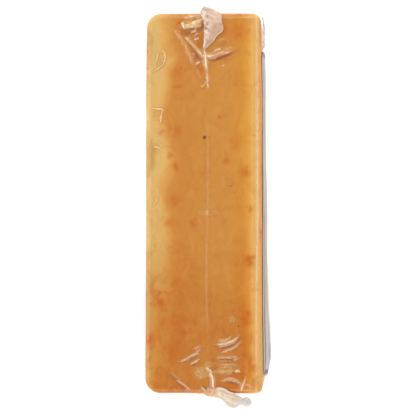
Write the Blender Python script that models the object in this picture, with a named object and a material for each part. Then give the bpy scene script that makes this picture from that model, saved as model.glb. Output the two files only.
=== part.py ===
"""A loaf of cheddar in tight clear film, lying on one narrow side with its seam side up.

Metres, +Z up. X runs across the loaf, Y along it, and Z up from the side that it rests on.
The origin is the middle of the resting side. The film clings to the cheese, so the pack is
one solid: a rounded loaf with the film's folds as relief, the film's ear folded over one end
and its twisted tail at the other. The label on the broad +X side and the bead on the end of
the tail are solids of their own.
"""

import math
from typing import NamedTuple

import bmesh
import bpy
from mathutils import Vector

MM = 0.001

LOAF_WIDTH = 58.5 * MM
LOAF_LENGTH = 190.5 * MM
LOAF_HEIGHT = 76.0 * MM
# A face whose points all lie lower than this belongs to the flat resting side.
FLAT = 0.001 * MM
HALF_WIDTH = LOAF_WIDTH / 2
HALF_LENGTH = LOAF_LENGTH / 2

# The long edges round the seam side and round the resting side.
EDGE_ROUND = 3.6 * MM
# The four upright corners, by the side of X and of Y that they are on.
CORNER_ROUND = {
    (-1, 1): 7.5 * MM,
    (1, 1): 4.2 * MM,
    (-1, -1): 8.0 * MM,
    (1, -1): 3.8 * MM,
}
# The loaf narrows a little towards its upper end and swells a little at the lower one.
UPPER_PINCH = 0.55 * MM
LOWER_SWELL = 0.4 * MM
PINCH_START = 50.0 * MM
# No side but the resting one is quite flat: two slow waves run along the loaf, and one
# of them also turns a little across it.
WAVE_HEIGHT = 0.12 * MM
LONG_WAVE = 19.0 * MM
SHORT_WAVE = 11.0 * MM
WAVE_TURN = 14.0 * MM

# Where a round edge gets a line of its own, as a share of its radius.
EDGE_TURN = 0.42
# The seam side's grid: fine where the film gathers, coarse between.
FINE_CELL = 1.6 * MM
COARSE_CELL = 14.0 * MM
GATHER_RIGHT = 22.0 * MM
UPPER_GATHER = 57.0 * MM
LOWER_GATHER = -65.0 * MM

SEAM_X = 1.5 * MM
SEAM_HALF_WIDTH = 0.8 * MM
SEAM_HEIGHT = 0.35 * MM


class Fold(NamedTuple):
    """One fold of the film, in millimetres: a low ridge along a bowed line."""

    start: tuple
    end: tuple
    bow: float
    half_width: float
    height: float


SEAM_SIDE_FOLDS = (
    # The upper gather: the seam's thick end and the arms that run from it.
    Fold((0.4, 77.0), (1.7, 58.0), 0.3, 1.3, 1.1),
    Fold((0.8, 74.0), (-9.2, 84.4), 0.6, 1.4, 1.0),
    Fold((1.6, 59.4), (-16.0, 85.6), 2.0, 1.7, 0.7),
    Fold((1.3, 73.4), (18.3, 78.4), -0.6, 1.5, 0.9),
    Fold((4.6, 75.8), (9.7, 78.5), 0.0, 1.2, 0.5),
    # The pocket of slack film beside the ear.
    Fold((0.3, 93.0), (-10.5, 87.6), 0.0, 3.2, 0.8),
    # The lower gather: short folds that point at the root of the tail.
    Fold((-10.0, -78.5), (-0.3, -71.6), -0.8, 1.3, 0.8),
    Fold((-6.3, -80.5), (-2.6, -78.2), 0.0, 1.2, 0.6),
    Fold((5.5, -71.0), (16.1, -68.4), -0.7, 1.4, 0.9),
    Fold((8.7, -74.8), (20.2, -68.7), -0.4, 1.2, 0.7),
    Fold((8.4, -76.5), (17.8, -76.3), 0.3, 1.3, 0.7),
    Fold((9.3, -84.6), (18.8, -84.6), 0.8, 1.5, 0.6),
    Fold((9.3, -88.8), (18.3, -90.2), 1.6, 1.4, 0.8),
    Fold((17.6, -94.6), (21.2, -85.4), -0.5, 1.2, 0.5),
    Fold((-13.5, -89.2), (-5.4, -93.9), 0.3, 1.3, 0.7),
    # The tail's own ridge, which climbs the seam side from the lower edge.
    Fold((0.8, -82.6), (4.8, -86.5), 0.9, 1.2, 1.0),
    Fold((4.8, -86.0), (5.4, -93.2), -0.4, 1.2, 1.3),
)

# The ear: stations from its tip on the seam side, over the upper end, and down that end.
# Each is its left and right edge (x, y), its height z and its thickness, in millimetres.
EAR_STATIONS = (
    ((-0.2, 76.4), (1.4, 76.9), 76.1, 0.9),
    ((-0.4, 80.0), (4.7, 80.6), 76.3, 1.1),
    ((-0.5, 84.0), (7.2, 84.5), 76.4, 1.2),
    ((-0.6, 87.0), (10.0, 87.2), 76.4, 1.2),
    ((-1.0, 91.6), (9.4, 91.2), 76.3, 1.3),
    ((-2.0, 95.6), (8.9, 95.2), 75.6, 1.5),
    ((-0.6, 98.0), (8.2, 96.6), 73.6, 1.9),
    ((-1.6, 96.6), (7.6, 96.1), 70.0, 2.0),
    ((-0.6, 95.6), (6.0, 95.5), 64.0, 1.6),
    ((0.8, 94.8), (3.6, 94.8), 57.0, 1.0),
)
EAR_SIDES = 12

# The tail: stations from inside the lower edge to the neck before the bead.
# Each is its middle (x, y, z), its half width and its thickness, in millimetres.
TAIL_STATIONS = (
    ((3.6, -87.0, 68.0), 10.5, 13.0),
    ((5.2, -93.6, 70.6), 9.6, 9.4),
    ((8.0, -96.2, 72.0), 7.2, 6.0),
    ((11.2, -98.1, 72.9), 4.6, 4.2),
    ((14.0, -99.4, 73.3), 3.5, 3.4),
    ((16.4, -99.4, 73.4), 2.4, 2.6),
    ((18.3, -99.1, 73.4), 1.7, 2.1),
)
TAIL_SIDES = 14

BEAD_MIDDLE = Vector((21.5, -99.1, 73.4)) * MM
BEAD_RADII = Vector((2.5, 2.4, 2.1)) * MM
BEAD_SIDES = 16
BEAD_BANDS = 9

LABEL_LOW_Y = -87.5 * MM
LABEL_HIGH_Y = 77.5 * MM
LABEL_LOW_Z = 12.0 * MM
LABEL_HIGH_Z = 64.0 * MM
LABEL_THICKNESS = 0.6 * MM
LABEL_GAP = 0.35 * MM
LABEL_CORNER = 6.0 * MM
# How far the label's middle stands off the loaf, along it from the low end to the high one.
LABEL_BULGE = ((0.0, 1.2), (0.06, 2.75), (0.12, 2.75), (0.24, 2.0), (0.42, 1.2), (0.66, 0.85), (1.0, 0.5))
LABEL_COLUMNS = 26
LABEL_ROWS = 10


def smooth_step(low, high, value):
    """0 below low, 1 above high, and an S curve between."""
    share = min(max((value - low) / (high - low), 0.0), 1.0)
    return share * share * (3 - 2 * share)


def bowed_point(fold, share):
    """The point at that share of a fold's line, in metres."""
    start, end = Vector(fold.start), Vector(fold.end)
    along = end - start
    across = Vector((-along.y, along.x)).normalized()
    return (start + along * share + across * fold.bow * 4 * share * (1 - share)) * MM


def fold_height(fold, place, steps=8):
    """How high a fold lifts the film at a place of the seam side."""
    lift = 0.0
    previous = bowed_point(fold, 0)
    for step in range(1, steps + 1):
        following = bowed_point(fold, step / steps)
        along = following - previous
        share = (place - previous).dot(along) / along.length_squared
        share = min(max(share, 0.0), 1.0)
        away = (place - previous - along * share).length / (fold.half_width * MM)
        whole = (step - 1 + share) / steps
        taper = smooth_step(0.0, 0.25, whole) * smooth_step(1.0, 0.75, whole)
        lift = max(lift, math.exp(-away * away) * (0.25 + 0.75 * taper))
        previous = following
    return lift * fold.height * MM


def seam_height(place):
    """The film's centre seam, a fine ridge between the two gathers."""
    away = (place.x - SEAM_X) / SEAM_HALF_WIDTH
    run = smooth_step(LOWER_GATHER - 3 * MM, LOWER_GATHER + 8 * MM, place.y)
    return SEAM_HEIGHT * math.exp(-away * away) * run * (place.y < UPPER_GATHER + 3 * MM)


def relief(x, y):
    """The film's relief on the seam side."""
    place = Vector((x, y))
    folds = sum(fold_height(fold, place) for fold in SEAM_SIDE_FOLDS)
    return folds + seam_height(place)


def rounded_edge(inward, below, radius):
    """Moves a point of a square edge's section onto the round edge."""
    if inward >= radius or below >= radius:
        return inward, below
    across, up = radius - inward, radius - below
    shrink = radius / math.hypot(across, up)
    return radius - across * shrink, radius - up * shrink


def rounded_corner(across, along, half_width, half_length, radius):
    """Moves a point of a rectangle's square corner into the round one."""
    over_width = abs(across) - (half_width - radius)
    over_length = abs(along) - (half_length - radius)
    if radius <= 0 or over_width <= 0 or over_length <= 0:
        return across, along
    shrink = 1 - max(over_width, over_length) / math.hypot(over_width, over_length)
    across -= math.copysign(over_width * shrink, across)
    along -= math.copysign(over_length * shrink, along)
    return across, along


def loaf_place(point):
    """The place on the finished loaf of a point on the sharp box round it."""
    inward = min(HALF_WIDTH - abs(point.x), HALF_LENGTH - abs(point.y))
    upper = point.z > LOAF_HEIGHT / 2
    below = LOAF_HEIGHT - point.z if upper else point.z
    inset, depth = rounded_edge(inward, below, EDGE_ROUND)
    x, y = point.x, point.y
    if inset != inward:
        x *= (HALF_WIDTH - inset) / (HALF_WIDTH - inward)
        y *= (HALF_LENGTH - inset) / (HALF_LENGTH - inward)
    radius = CORNER_ROUND[1 if x > 0 else -1, 1 if y > 0 else -1] - inset
    x, y = rounded_corner(x, y, HALF_WIDTH - inset, HALF_LENGTH - inset, radius)
    z = LOAF_HEIGHT - depth if upper else depth

    pinch = UPPER_PINCH * smooth_step(PINCH_START, HALF_LENGTH, y)
    swell = LOWER_SWELL * smooth_step(0.0, -HALF_LENGTH, y)
    x *= 1 + (swell - pinch) / HALF_WIDTH
    wave = math.sin(y / LONG_WAVE + 1.3) + math.sin(y / SHORT_WAVE + x / WAVE_TURN)
    wave *= WAVE_HEIGHT
    x += wave * math.sin(math.pi * z / LOAF_HEIGHT)
    if upper:
        crest = max(1 - depth / EDGE_ROUND, 0.0)
        z += crest * (relief(x, y) + wave)
    return Vector((x, y, z))


def wall_lines(half, radius):
    """Lines near the two ends of a side, where the edge and the corner turn."""
    turns = (EDGE_TURN * EDGE_ROUND, EDGE_ROUND, radius)
    return [side * (half - turn) for turn in turns for side in (-1, 1)]


def even_lines(low, high, cell):
    """Lines between low and high, about one cell apart."""
    count = round((high - low) / cell)
    return [low + (high - low) * step / count for step in range(1, count)]


def cut(bm, axis, lines, lowest=-LOAF_HEIGHT):
    """Cuts the faces that lie above a height along planes across one axis."""
    normal = Vector((axis == "x", axis == "y", axis == "z"))
    for line in lines:
        faces = [face for face in bm.faces if face.calc_center_median().z > lowest]
        edges = {edge for face in faces for edge in face.edges}
        verts = {vert for face in faces for vert in face.verts}
        geometry = [*verts, *edges, *faces]
        bmesh.ops.bisect_plane(bm, geom=geometry, plane_co=normal * line, plane_no=normal)


def cut_grid(bm):
    """Cuts the sharp box into a coarse grid, with a finer one where the film gathers."""
    band = LOAF_HEIGHT - EDGE_ROUND
    turns = (EDGE_TURN * EDGE_ROUND, EDGE_ROUND)
    cut(bm, "z", [LOAF_HEIGHT / 2, *turns, *(LOAF_HEIGHT - turn for turn in turns)])
    cut(bm, "x", wall_lines(HALF_WIDTH, HALF_WIDTH - GATHER_RIGHT) + [0.0])
    cut(bm, "y", wall_lines(HALF_LENGTH, max(CORNER_ROUND.values())))
    cut(bm, "y", even_lines(-HALF_LENGTH, HALF_LENGTH, COARSE_CELL))

    seam = [SEAM_X + side * SEAM_HALF_WIDTH for side in (-1, 0, 1)]
    left = even_lines(-GATHER_RIGHT, SEAM_X - SEAM_HALF_WIDTH, FINE_CELL)
    right = even_lines(SEAM_X + SEAM_HALF_WIDTH, GATHER_RIGHT, FINE_CELL)
    cut(bm, "x", left + seam + right, band)
    inner = HALF_LENGTH - EDGE_ROUND
    cut(bm, "y", even_lines(-inner, LOWER_GATHER, FINE_CELL), band)
    cut(bm, "y", even_lines(UPPER_GATHER, inner, FINE_CELL), band)


def new_object(name, bm):
    """A mesh object made from bm, smooth where its faces meet gently."""
    mesh = bpy.data.meshes.new(name)
    bmesh.ops.recalc_face_normals(bm, faces=bm.faces)
    bm.to_mesh(mesh)
    bm.free()
    mesh.shade_smooth()
    mesh.set_sharp_from_angle(angle=math.radians(40))
    part = bpy.data.objects.new(name, mesh)
    bpy.context.scene.collection.objects.link(part)
    return part


def make_loaf():
    """The rounded loaf with the film's relief on its seam side."""
    bm = bmesh.new()
    bmesh.ops.create_cube(bm, size=1)
    for vert in bm.verts:
        vert.co.x *= LOAF_WIDTH
        vert.co.y *= LOAF_LENGTH
        vert.co.z = (vert.co.z + 0.5) * LOAF_HEIGHT
    cut_grid(bm)
    for vert in bm.verts:
        vert.co = loaf_place(vert.co)
    resting = [face for face in bm.faces if max(vert.co.z for vert in face.verts) < FLAT]
    bmesh.ops.dissolve_faces(bm, faces=resting)
    return new_object("sealed_bag", bm)


def make_loft(name, rings):
    """A closed body through rings of points, capped at both ends."""
    bm = bmesh.new()
    loops = []
    for ring in rings:
        verts = [bm.verts.new(point) for point in ring]
        edges = [bm.edges.new((verts[i - 1], verts[i])) for i in range(len(verts))]
        loops.append(edges)
    for first, second in zip(loops, loops[1:]):
        bmesh.ops.bridge_loops(bm, edges=first + second)
    for loop in (loops[0], loops[-1]):
        bmesh.ops.contextual_create(bm, geom=loop)
    return new_object(name, bm)


def run_of(places):
    """The direction of a line of places at each of them."""
    last = len(places) - 1
    return [places[min(i + 1, last)] - places[max(i - 1, 0)] for i in range(len(places))]


def flat_ring(middle, across, thick, sides):
    """A flattened oval of points: across is its half width, and thick its half thickness."""
    turns = [2 * math.pi * step / sides for step in range(sides)]
    return [middle + across * math.cos(turn) + thick * math.sin(turn) for turn in turns]


def make_ear():
    """The film's ear, which lies on the seam side and folds over the upper end."""
    lefts = [Vector((*left, z)) * MM for left, _, z, _ in EAR_STATIONS]
    rights = [Vector((*right, z)) * MM for _, right, z, _ in EAR_STATIONS]
    middles = [(left + right) / 2 for left, right in zip(lefts, rights)]
    rings = []
    for middle, right, along, station in zip(middles, rights, run_of(middles), EAR_STATIONS):
        upward = (right - middle).cross(along).normalized() * station[-1] / 2 * MM
        rings.append(flat_ring(middle, right - middle, upward, EAR_SIDES))
    return make_loft("ear", rings)


def make_tail():
    """The film's twisted tail, which leaves the lower edge."""
    middles = [Vector(middle) * MM for middle, _, _ in TAIL_STATIONS]
    rings = []
    for middle, along, station in zip(middles, run_of(middles), TAIL_STATIONS):
        _, half_width, thickness = station
        across = Vector((-along.y, along.x, 0)).normalized() * half_width * MM
        upward = along.cross(across).normalized() * thickness / 2 * MM
        rings.append(flat_ring(middle, across, upward, TAIL_SIDES))
    return make_loft("tail", rings)


def make_sealed_bag():
    """The pack: loaf, ear and tail joined into one solid."""
    pack = make_loaf()
    folded = bpy.data.collections.new("folded_film")
    bpy.context.scene.collection.children.link(folded)
    for piece in (make_ear(), make_tail()):
        bpy.context.scene.collection.objects.unlink(piece)
        folded.objects.link(piece)
    union = pack.modifiers.new("join", "BOOLEAN")
    union.operation = "UNION"
    union.operand_type = "COLLECTION"
    union.collection = folded
    union.solver = "EXACT"
    with bpy.context.temp_override(object=pack, active_object=pack):
        bpy.ops.object.modifier_apply(modifier=union.name)
    for piece in list(folded.objects):
        bpy.data.objects.remove(piece)
    bpy.data.collections.remove(folded)
    return pack


def label_bulge(share):
    """How far the label's middle stands off the loaf at that share of its length."""
    for (low, low_rise), (high, high_rise) in zip(LABEL_BULGE, LABEL_BULGE[1:]):
        if share <= high:
            return (low_rise + (high_rise - low_rise) * smooth_step(low, high, share)) * MM
    return LABEL_BULGE[-1][1] * MM


def label_place(along, up, thickness):
    """The label's point at those shares of its length and height, from -0.5 to 0.5."""
    half_length = (LABEL_HIGH_Y - LABEL_LOW_Y) / 2
    half_height = (LABEL_HIGH_Z - LABEL_LOW_Z) / 2
    y, z = along * 2 * half_length, up * 2 * half_height
    y, z = rounded_corner(y, z, half_length, half_height, LABEL_CORNER)
    arch = 1 - (z / half_height) ** 2
    y += (LABEL_HIGH_Y + LABEL_LOW_Y) / 2
    z += (LABEL_HIGH_Z + LABEL_LOW_Z) / 2
    wall = loaf_place(Vector((HALF_WIDTH, y, z))).x
    return Vector((wall + LABEL_GAP + label_bulge(along + 0.5) * arch + thickness, y, z))


def make_label():
    """The label: a thin sheet on the broad side that stands off it in the middle."""
    bm = bmesh.new()
    bmesh.ops.create_grid(bm, x_segments=LABEL_COLUMNS, y_segments=LABEL_ROWS, size=0.5)
    grown = bmesh.ops.extrude_face_region(bm, geom=bm.faces[:], use_keep_orig=True)["geom"]
    outer = {item for item in grown if isinstance(item, bmesh.types.BMVert)}
    for vert in bm.verts:
        thickness = LABEL_THICKNESS if vert in outer else 0.0
        vert.co = label_place(vert.co.x, vert.co.y, thickness)
    return new_object("front_label", bm)


def make_bead():
    """The bead that closes the end of the tail."""
    bm = bmesh.new()
    bmesh.ops.create_uvsphere(bm, u_segments=BEAD_SIDES, v_segments=BEAD_BANDS, radius=1)
    for vert in bm.verts:
        vert.co = BEAD_MIDDLE + vert.co * BEAD_RADII
    return new_object("tail_tip", bm)


def paint(part, name, colour, roughness, alpha=1.0):
    """Gives a part a material of its own."""
    material = bpy.data.materials.new(name)
    material.use_nodes = True
    shader = material.node_tree.nodes["Principled BSDF"]
    shader.inputs["Base Color"].default_value = (*colour, 1)
    shader.inputs["Roughness"].default_value = roughness
    shader.inputs["Metallic"].default_value = 0.0
    shader.inputs["Alpha"].default_value = alpha
    part.data.materials.clear()
    part.data.materials.append(material)


def main():
    for old in list(bpy.data.objects):
        bpy.data.objects.remove(old)
    paint(make_sealed_bag(), "cheddar_in_film", (0.62, 0.25, 0.055), 0.25)
    paint(make_label(), "label_film", (0.62, 0.6, 0.6), 0.3)
    paint(make_bead(), "film_bead", (0.7, 0.66, 0.62), 0.3)


main()
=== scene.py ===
# %% [markdown]
# # A loaf of cheddar in tight clear film
#
# The real object is a long loaf of orange cheese, shrunk into clear film. It lies on one
# narrow side, and the side with the film's seam looks up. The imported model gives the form
# and the sizes in metres. This lesson dresses it: cheese, film with its folds, the film's
# ear, its twisted tail with a bead, and the label on one broad side.

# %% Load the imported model
import math
from typing import NamedTuple

import bmesh
import bpy
import numpy as np
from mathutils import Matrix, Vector, noise


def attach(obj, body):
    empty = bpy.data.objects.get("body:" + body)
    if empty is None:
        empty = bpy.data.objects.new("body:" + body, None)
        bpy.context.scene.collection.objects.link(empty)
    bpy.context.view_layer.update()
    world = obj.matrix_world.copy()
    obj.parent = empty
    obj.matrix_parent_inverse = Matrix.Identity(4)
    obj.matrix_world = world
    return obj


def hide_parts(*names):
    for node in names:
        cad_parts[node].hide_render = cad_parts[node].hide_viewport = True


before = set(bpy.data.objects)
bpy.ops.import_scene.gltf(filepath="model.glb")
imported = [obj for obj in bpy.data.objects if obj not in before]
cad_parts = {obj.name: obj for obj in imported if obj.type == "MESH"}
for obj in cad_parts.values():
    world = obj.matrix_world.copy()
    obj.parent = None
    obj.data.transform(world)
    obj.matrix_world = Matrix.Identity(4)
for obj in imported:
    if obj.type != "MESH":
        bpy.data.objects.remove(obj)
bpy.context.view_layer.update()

MM = 0.001

# %% [markdown]
# The camera looks straight down on the seam side, with the loaf's length up the picture,
# and leans a little to the side of the label. A long lens from further off would also do,
# but at 1.3 m the label's edge shows just as far past the cheese as it should. The picture
# is 416 pixels square, and one pixel covers half a millimetre of the seam side.

# %% Aim the camera
def add(operator, name, **settings):
    """Adds an object by an operator, with nothing else selected, and names it."""
    bpy.ops.object.select_all(action="DESELECT")
    operator(**settings)
    bpy.context.object.name = name
    return bpy.context.object


LOAF_WIDTH = 58.5 * MM
LOAF_LENGTH = 190.5 * MM
LOAF_HEIGHT = 76.0 * MM
PICTURE_PIXELS = 416
PIXEL_SIZE = 0.4985 * MM
MIDDLE_PIXEL = (203.5, 203.45)
CAMERA_AWAY = 1.3
CAMERA_LEAN = math.radians(2.2)
SENSOR_WIDTH = 36.0

aim = Vector((
    (PICTURE_PIXELS / 2 - MIDDLE_PIXEL[0]) * PIXEL_SIZE,
    (MIDDLE_PIXEL[1] - PICTURE_PIXELS / 2) * PIXEL_SIZE,
    LOAF_HEIGHT,
))
away = Vector((math.sin(CAMERA_LEAN), 0, math.cos(CAMERA_LEAN))) * CAMERA_AWAY
camera = add(bpy.ops.object.camera_add, "camera", location=aim + away, rotation=(0, CAMERA_LEAN, 0))
camera.data.sensor_width = SENSOR_WIDTH
camera.data.lens = SENSOR_WIDTH * CAMERA_AWAY / (PICTURE_PIXELS * PIXEL_SIZE)
bpy.context.scene.camera = camera
bpy.context.scene.view_settings.view_transform = "Standard"
print("lens, mm:", round(camera.data.lens, 1))

# %% [markdown]
# Film is glossy, so it shows the lights as well as the cheese. The flat seam side mirrors
# what is straight above it. That place stays darker, and the softboxes stand round it, so
# that only round edges and folds catch them. The sky is a plain gradient, pale low down.

# %% Hang the softboxes
class Softbox(NamedTuple):
    """A square light that faces the loaf: where it hangs, its size and its power."""

    name: str
    heading: float
    off_vertical: float
    size: tuple
    power: float


SOFTBOX_AWAY = 1.2
SOFTBOXES = (
    Softbox("left_softbox", 180, 50, (0.5, 0.9), 2.6),
    Softbox("right_softbox", 0, 42, (0.26, 1.1), 1.3),
    Softbox("far_softbox", 90, 44, (0.8, 0.5), 3.1),
    Softbox("near_softbox", 270, 48, (0.8, 0.5), 2.3),
)
loaf_middle = Vector((0, 0, LOAF_HEIGHT / 2))
for softbox in SOFTBOXES:
    heading, off = math.radians(softbox.heading), math.radians(softbox.off_vertical)
    outward = Vector((math.cos(heading) * math.sin(off), math.sin(heading) * math.sin(off), math.cos(off)))
    turn, spot = outward.to_track_quat("Z", "Y").to_euler(), loaf_middle + outward * SOFTBOX_AWAY
    light = add(bpy.ops.object.light_add, softbox.name, type="AREA", location=spot, rotation=turn)
    light.data.shape = "RECTANGLE"
    light.data.size, light.data.size_y = softbox.size
    light.data.energy = softbox.power
print("softboxes:", len(SOFTBOXES))

# %% [markdown]
# Nodes are the long part of most Blender scripts. One small class keeps them short: it
# wraps an output socket, and Python's own operators add the Math nodes. Every other node
# comes from one method, which sets the node up first and then fills its inputs.

# %% Wrap a socket
class Wire:
    """An output socket that Python's operators carry on into Math nodes."""

    def __init__(self, socket):
        self.socket = socket

    def node(self, kind, settings, inputs, output=0):
        """Adds a node: its settings first, then the values or wires of its inputs."""
        tree = self.socket.id_data
        added = tree.nodes.new(kind)
        for name, value in settings.items():
            setattr(added, name, value)
        for name, value in inputs.items():
            if isinstance(value, Wire):
                tree.links.new(value.socket, added.inputs[name])
            else:
                added.inputs[name].default_value = value
        return Wire(added.outputs[output])

    def maths(self, operation, first, second):
        """One Math node."""
        return self.node("ShaderNodeMath", {"operation": operation}, {0: first, 1: second})

    def __add__(self, other):
        return self.maths("ADD", self, other)

    def __radd__(self, other):
        return self.maths("ADD", other, self)

    def __sub__(self, other):
        return self.maths("SUBTRACT", self, other)

    def __rsub__(self, other):
        return self.maths("SUBTRACT", other, self)

    def __mul__(self, other):
        return self.maths("MULTIPLY", self, other)

    def __rmul__(self, other):
        return self.maths("MULTIPLY", other, self)

    def __abs__(self):
        return self.maths("ABSOLUTE", self, 0.0)

    def step(self, low, high):
        """0 below low, 1 above high, and an S curve between."""
        inputs = {"Value": self, "From Min": low, "From Max": high}
        return self.node("ShaderNodeMapRange", {"interpolation_type": "SMOOTHSTEP"}, inputs)


# %% Add the helpers that every finish uses
def new_material(name):
    """An empty node material, and the place of each point on the piece, in metres."""
    material = bpy.data.materials.new(name)
    material.use_nodes = True
    material.node_tree.nodes.clear()
    corner = material.node_tree.nodes.new("ShaderNodeTexCoord")
    return material, Wire(corner.outputs["Object"])


def clouds(place, scale, detail=3.0, stretch=(1, 1, 1), shift=(0, 0, 0), swirl=0.0):
    """Soft noise from about 0.3 to 0.7, drawn out by a stretch of its coordinates."""
    moved = place.node("ShaderNodeMapping", {}, {"Vector": place, "Scale": stretch, "Location": shift})
    inputs = {"Vector": moved, "Scale": scale, "Detail": detail, "Distortion": swirl}
    return place.node("ShaderNodeTexNoise", {}, inputs)


def mixed(factor, first, second):
    """A colour between two, each a wire or a screen colour."""
    ends = [end if isinstance(end, Wire) else (*screen(*end), 1.0) for end in (first, second)]
    inputs = {0: factor, 6: ends[0], 7: ends[1]}
    return factor.node("ShaderNodeMix", {"data_type": "RGBA"}, inputs, output=2)


def ramp(share, stops):
    """A colour that runs through stops: each a share from 0 to 1 and a screen colour."""
    wire = share.node("ShaderNodeValToRGB", {}, {0: share})
    elements = wire.socket.node.color_ramp.elements
    for index, (stop, colour) in enumerate(stops):
        element = elements.new(stop) if index > 1 else elements[index]
        element.position = stop
        element.color = (*screen(*colour), 1.0)
    return wire


def stored(place, name):
    """A value that the mesh holds at each of its points."""
    return place.node("ShaderNodeAttribute", {"attribute_name": name}, {}, output="Fac")


def bump(place, strength, distance, height):
    """A relief for a finish's Normal, its heights times the distance in metres."""
    inputs = {"Strength": strength, "Distance": distance, "Height": height}
    return place.node("ShaderNodeBump", {}, inputs, output="Normal")


def principled(place, inputs):
    """The shader that all the finishes start from."""
    return place.node("ShaderNodeBsdfPrincipled", {}, inputs)


def partly(place, cover, shader):
    """A shader that covers only a share of what lies behind it."""
    clear = place.node("ShaderNodeBsdfTransparent", {}, {})
    return place.node("ShaderNodeMixShader", {}, {0: cover, 1: clear, 2: shader})


def axes(place):
    """The X, Y and Z of a place."""
    return [place.node("ShaderNodeSeparateXYZ", {}, {0: place}, output=axis) for axis in "XYZ"]


def show(material, shader):
    """Makes a shader the one that the material shows."""
    material.node_tree.nodes.new("ShaderNodeOutputMaterial")
    output = material.node_tree.nodes["Material Output"]
    material.node_tree.links.new(shader.socket, output.inputs["Surface"])
    return material


def screen(red, green, blue):
    """The linear colour of a screen colour from 0 to 255."""
    return tuple(((value / 255 + 0.055) / 1.055) ** 2.4 for value in (red, green, blue))


# %% Light the sky
SKY_LOW = 1.15
SKY_HIGH = 0.14
SKY_TURN = (0.45, 0.86)
sky = bpy.data.worlds.new("sky")
bpy.context.scene.world = sky
sky.use_nodes = True
direction = Wire(sky.node_tree.nodes.new("ShaderNodeTexCoord").outputs["Generated"])
height = axes(direction)[2]
paint = SKY_LOW - height.step(*SKY_TURN) * (SKY_LOW - SKY_HIGH)
sky.node_tree.links.new(paint.socket, sky.node_tree.nodes["Background"].inputs["Color"])
print("sky from", SKY_LOW, "to", SKY_HIGH)

# %% Lay the floor
FLOOR_SIZE = 8.0
FLOOR_GLOW = 0.46
floor = add(bpy.ops.mesh.primitive_plane_add, "floor", size=FLOOR_SIZE)
floor_paint, floor_place = new_material("pale_floor")
grain = clouds(floor_place, 40.0, 2.0)
floor_shader = principled(floor_place, {
    "Base Color": 0.93 + grain * 0.03,
    "Roughness": 0.9,
    "Specular IOR Level": 0.1,
    "Emission Color": (1.0, 1.0, 1.0, 1.0),
    "Emission Strength": FLOOR_GLOW,
})
floor.data.materials.append(show(floor_paint, floor_shader))
print("floor, m:", FLOOR_SIZE)

# %% [markdown]
# The loaf is a box with round edges that hands have pressed: it narrows at one end and
# waves a little. Bevels on a cube would round it, but the cuts would no longer be even. So
# a cube is cut into an even grid first, and each point is then moved onto the round form.
# Cheese and film share that form, and the model's own solid has it too.

# %% Describe the loaf's form
HALF_WIDTH = LOAF_WIDTH / 2
HALF_LENGTH = LOAF_LENGTH / 2
EDGE_ROUND = 3.6 * MM
# The four upright corners, by the side of X and of Y that they are on.
CORNER_ROUND = {(-1, 1): 7.5 * MM, (1, 1): 4.2 * MM, (-1, -1): 8.0 * MM, (1, -1): 3.8 * MM}
UPPER_PINCH = 0.55 * MM
LOWER_SWELL = 0.4 * MM
PINCH_START = 50.0 * MM
WAVE_HEIGHT = 0.12 * MM
LONG_WAVE = 19.0 * MM
SHORT_WAVE = 11.0 * MM
WAVE_TURN = 14.0 * MM


def smooth_step(low, high, value):
    """0 below low, 1 above high, and an S curve between."""
    share = np.clip((value - low) / (high - low), 0, 1)
    return share * share * (3 - 2 * share)


def round_edge(inward, below):
    """Moves points of a square edge's section onto the round edge."""
    turned = (inward < EDGE_ROUND) & (below < EDGE_ROUND)
    across, up = EDGE_ROUND - inward, EDGE_ROUND - below
    shrink = EDGE_ROUND / np.where(turned, np.hypot(across, up), 1)
    inset = np.where(turned, EDGE_ROUND - across * shrink, inward)
    depth = np.where(turned, EDGE_ROUND - up * shrink, below)
    return inset, depth


def round_corner(x, y, half_width, half_length, radius):
    """Moves points of a rectangle's square corners into the round ones."""
    over_x = np.abs(x) - (half_width - radius)
    over_y = np.abs(y) - (half_length - radius)
    turned = (radius > 0) & (over_x > 0) & (over_y > 0)
    reach = np.where(turned, np.hypot(over_x, over_y), 1)
    shrink = np.where(turned, 1 - np.maximum(over_x, over_y) / reach, 0)
    return x - np.sign(x) * over_x * shrink, y - np.sign(y) * over_y * shrink


def loaf_form(sharp):
    """Moves points of the sharp box round the loaf onto the loaf."""
    x, y, z = sharp.T
    inward = np.minimum(HALF_WIDTH - np.abs(x), HALF_LENGTH - np.abs(y))
    upper = z > LOAF_HEIGHT / 2
    inset, depth = round_edge(inward, np.where(upper, LOAF_HEIGHT - z, z))
    x = x * (HALF_WIDTH - inset) / np.maximum(HALF_WIDTH - inward, MM)
    y = y * (HALF_LENGTH - inset) / (HALF_LENGTH - inward)
    radius = np.zeros(len(x))
    for (side_x, side_y), corner in CORNER_ROUND.items():
        radius[(x * side_x > 0) & (y * side_y > 0)] = corner
    x, y = round_corner(x, y, HALF_WIDTH - inset, HALF_LENGTH - inset, radius - inset)
    z = np.where(upper, LOAF_HEIGHT - depth, depth)
    pinch = UPPER_PINCH * smooth_step(PINCH_START, HALF_LENGTH, y)
    swell = LOWER_SWELL * smooth_step(0, -HALF_LENGTH, y)
    x = x * (1 + (swell - pinch) / HALF_WIDTH)
    wave = WAVE_HEIGHT * (np.sin(y / LONG_WAVE + 1.3) + np.sin(y / SHORT_WAVE + x / WAVE_TURN))
    x = x + wave * np.sin(np.pi * z / LOAF_HEIGHT)
    z = z + np.where(upper, np.clip(1 - depth / EDGE_ROUND, 0, 1) * wave, 0)
    return np.column_stack((x, y, z))


# %% Read and write a mesh's points
def points_of(piece, what="co"):
    """The places or the normals of a mesh's points, as rows."""
    rows = np.empty(len(piece.data.vertices) * 3)
    piece.data.vertices.foreach_get(what, rows)
    return rows.reshape(-1, 3)


def put_points(piece, rows):
    """Moves a mesh's points."""
    piece.data.vertices.foreach_set("co", rows.ravel())
    piece.data.update()


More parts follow.
